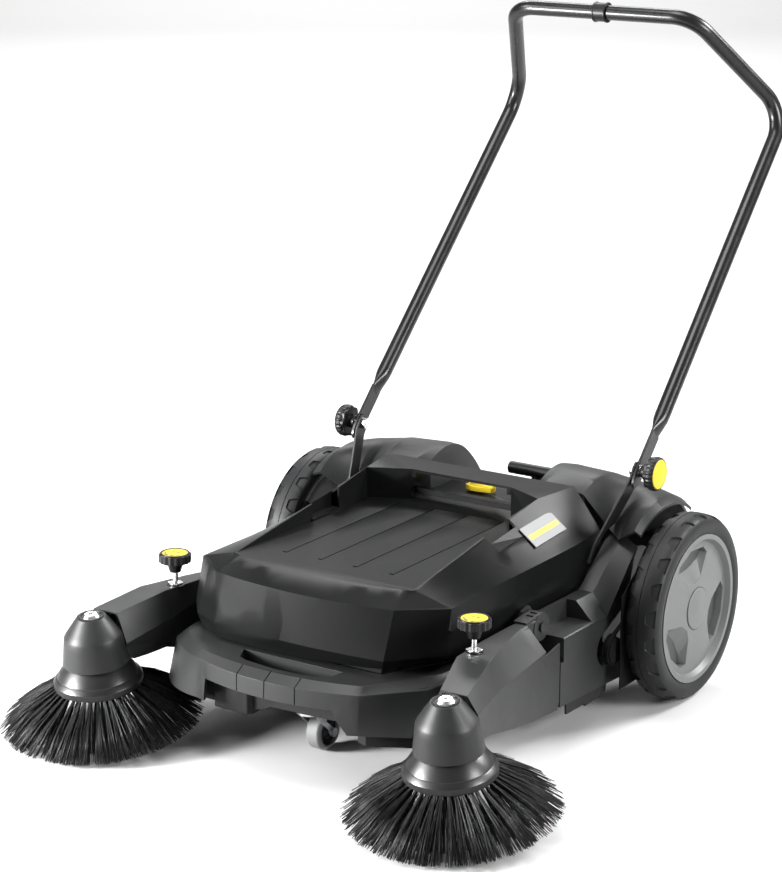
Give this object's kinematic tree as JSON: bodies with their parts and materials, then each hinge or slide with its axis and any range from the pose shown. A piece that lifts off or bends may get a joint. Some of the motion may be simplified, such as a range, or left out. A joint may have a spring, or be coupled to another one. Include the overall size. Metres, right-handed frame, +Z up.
{
  "type": "walk-behind push sweeper",
  "caption": "Walk-behind floor sweeper: two angled side brushes, main roller, lift-off hopper, two drive wheels, caster and folding tubular push handle.",
  "frame": {"origin": "on the floor, under the centre of the bounding box; x = 0 is the machine's symmetry plane", "axes": "+Z up, -Y towards the front (side brushes), +X towards the machine's left side"},
  "size_m": [0.948, 1.2688, 1.0489],
  "materials": {
    "tyre_rubber": "matt",
    "rim_grey": "satin",
    "steel": "satin",
    "black_plastic": "satin",
    "bristle": "matt",
    "belt_rubber": "matt",
    "hopper_plastic": "fine grained",
    "yellow_plastic": "gloss",
    "plate_white": "gloss",
    "body_plastic": "fine grained",
    "black_tube": "satin",
    "black_steel": "satin",
    "zinc_steel": "satin",
    "grey_rubber": "matt"
  },
  "bodies": {
    "chassis": {"arm_pin_L": "steel", "arm_pin_R": "steel", "axle_rod": "steel", "belly_pan": "black_plastic", "bumper": "body_plastic", "caster_mount": "zinc_steel", "chin": "black_plastic", "drive_belt": "belt_rubber", "fender_L": "body_plastic", "fender_R": "body_plastic", "handle_bolt_L": "steel", "handle_bolt_R": "steel", "handle_bracket_L": "black_steel", "handle_bracket_R": "black_steel", "rear_deck": "body_plastic", "rear_flap": "belt_rubber", "roller_housing": "black_plastic", "side_frame_L": "body_plastic", "side_frame_R": "body_plastic", "side_skirt_L": "belt_rubber", "side_skirt_R": "belt_rubber"},
    "wheel_L": {"tyre_L": "tyre_rubber", "rim_L": "rim_grey", "drive_pulley": "black_plastic"},
    "wheel_R": {"tyre_R": "tyre_rubber", "rim_R": "rim_grey"},
    "main_roller": {"roller_core": "black_plastic", "roller_bristles": "bristle"},
    "hopper": {"hopper_cover": "hopper_plastic", "hopper_bin": "black_plastic", "band_plate": "plate_white"},
    "latch": {"latch_knob": "yellow_plastic"},
    "push_handle": {"handle_tube_L": "black_tube", "handle_tube_R": "black_tube", "handle_sleeve": "black_plastic"},
    "rear_adjuster": {"rear_grip": "black_plastic"},
    "caster_swivel": {"caster_fork": "zinc_steel"},
    "caster_wheel": {"caster_tread": "grey_rubber", "caster_hub": "black_plastic"},
    "arm_L": {"side_arm_L": "body_plastic"},
    "side_brush_L": {"brush_disc_L": "black_plastic", "brush_spindle_L": "steel", "brush_bristles_L": "bristle"},
    "height_knob_L": {"arm_knob_L": "black_plastic", "arm_knob_cap_L": "yellow_plastic", "arm_knob_screw_L": "steel"},
    "clamp_knob_L": {"star_knob_L": "black_plastic", "star_knob_cap_L": "yellow_plastic"},
    "arm_R": {"side_arm_R": "body_plastic"},
    "side_brush_R": {"brush_disc_R": "black_plastic", "brush_spindle_R": "steel", "brush_bristles_R": "bristle"},
    "height_knob_R": {"arm_knob_R": "black_plastic", "arm_knob_cap_R": "yellow_plastic", "arm_knob_screw_R": "steel"},
    "clamp_knob_R": {"star_knob_R": "black_plastic", "star_knob_cap_R": "yellow_plastic"}
  },
  "joints": [
    {"name": "wheel_spin_L", "type": "hinge", "parent": "chassis", "child": "wheel_L", "pos_m": [0.345, 0.1495, 0.15], "axis": [1, 0, 0], "continuous": true},
    {"name": "wheel_spin_R", "type": "hinge", "parent": "chassis", "child": "wheel_R", "pos_m": [-0.345, 0.1495, 0.15], "axis": [1, 0, 0], "continuous": true},
    {"name": "roller_spin", "type": "hinge", "parent": "chassis", "child": "main_roller", "pos_m": [0, -0.0005, 0.113], "axis": [1, 0, 0], "continuous": true},
    {"name": "hopper_lift", "type": "slide", "parent": "chassis", "child": "hopper", "axis": [0, 0, 1], "range_m": [0, 0.25]},
    {"name": "latch_turn", "type": "hinge", "parent": "hopper", "child": "latch", "pos_m": [-0.022, 0.1335, 0.285], "axis": [0, 0, 1], "range_deg": [0, 90]},
    {"name": "handle_fold", "type": "hinge", "parent": "chassis", "child": "push_handle", "pos_m": [0, 0.1415, 0.36], "axis": [1, 0, 0], "range_deg": [0, 120]},
    {"name": "rear_adjust", "type": "hinge", "parent": "chassis", "child": "rear_adjuster", "pos_m": [0, 0.2775, 0.284], "axis": [0, 0, 1], "continuous": true},
    {"name": "caster_turn", "type": "hinge", "parent": "chassis", "child": "caster_swivel", "pos_m": [0, -0.3805, 0.07], "axis": [0, 0, 1], "continuous": true},
    {"name": "caster_roll", "type": "hinge", "parent": "caster_swivel", "child": "caster_wheel", "pos_m": [0, -0.3485, 0.03], "axis": [1, 0, 0], "continuous": true},
    {"name": "arm_lift_L", "type": "hinge", "parent": "chassis", "child": "arm_L", "pos_m": [0.255, -0.1585, 0.19], "axis": [-1, 0, 0], "range_deg": [0, 5]},
    {"name": "brush_spin_L", "type": "hinge", "parent": "arm_L", "child": "side_brush_L", "pos_m": [0.317, -0.4915, 0.092], "axis": [0, -0.1219, 0.9925], "continuous": true},
    {"name": "height_turn_L", "type": "hinge", "parent": "arm_L", "child": "height_knob_L", "pos_m": [0.271, -0.3565, 0.25], "axis": [0, 0, 1], "continuous": true},
    {"name": "clamp_turn_L", "type": "hinge", "parent": "chassis", "child": "clamp_knob_L", "pos_m": [0.29, 0.1415, 0.36], "axis": [1, 0, 0], "continuous": true},
    {"name": "arm_lift_R", "type": "hinge", "parent": "chassis", "child": "arm_R", "pos_m": [-0.255, -0.1585, 0.19], "axis": [-1, 0, 0], "range_deg": [0, 5]},
    {"name": "brush_spin_R", "type": "hinge", "parent": "arm_R", "child": "side_brush_R", "pos_m": [-0.317, -0.4915, 0.092], "axis": [0, -0.1219, 0.9925], "continuous": true},
    {"name": "height_turn_R", "type": "hinge", "parent": "arm_R", "child": "height_knob_R", "pos_m": [-0.271, -0.3565, 0.25], "axis": [0, 0, 1], "continuous": true},
    {"name": "clamp_turn_R", "type": "hinge", "parent": "chassis", "child": "clamp_knob_R", "pos_m": [-0.29, 0.1415, 0.36], "axis": [1, 0, 0], "continuous": true}
  ],
  "couplings": [
    {"joint": "roller_spin", "follows": "wheel_spin_L", "ratio": 2.1},
    {"joint": "brush_spin_L", "follows": "wheel_spin_L", "ratio": -1.6},
    {"joint": "brush_spin_R", "follows": "wheel_spin_R", "ratio": 1.6}
  ]
}
